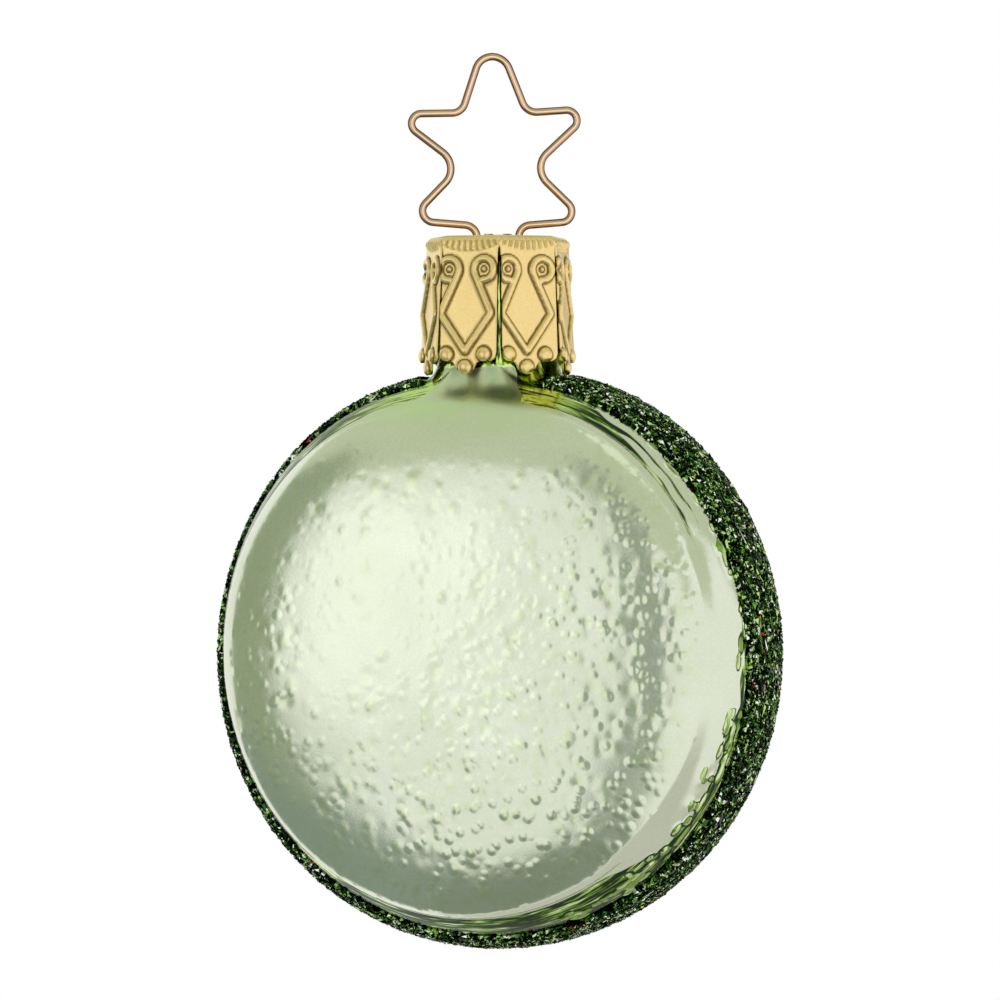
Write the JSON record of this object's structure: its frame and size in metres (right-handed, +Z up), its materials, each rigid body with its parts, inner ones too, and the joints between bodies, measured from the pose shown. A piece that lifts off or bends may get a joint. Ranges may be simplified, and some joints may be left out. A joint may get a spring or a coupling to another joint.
{
  "type": "hanging ornament",
  "caption": "Hollow glass disc with a glitter band round its waist, a stamped gold crown cap and a star-shaped wire hanger",
  "frame": {"origin": "the underside of the wire at the top of the star, where a hook bears", "axes": "+Z up, +Y from the front face of the disc to its back along the disc's axis, +X to the right as seen from the front"},
  "size_m": [0.058, 0.0236, 0.0877],
  "materials": {
    "pearl_glass": "silvered blown glass with a satin pearl-green lacquer, glossy deep green round the neck",
    "green_glitter": "fine dark green glitter on glue",
    "gold_sheet": "pale satin gold, stamped",
    "copper_wire": "bright copper-gold spring wire"
  },
  "bodies": {
    "hanger": {"star_hanger": "copper_wire"},
    "cap": {"crown_cap": "gold_sheet"},
    "glass": {"glass_bulb": "pearl_glass", "glitter_band": "green_glitter"}
  },
  "joints": [
    {"name": "hanger_slide", "type": "slide", "parent": "hanger", "child": "cap", "axis": [0, 0, -1], "range_m": [0, 0.003]},
    {"name": "cap_swivel", "type": "hinge", "parent": "cap", "child": "glass", "pos_m": [0, 0, -0.0173], "axis": [0, 0, 1], "continuous": true}
  ]
}
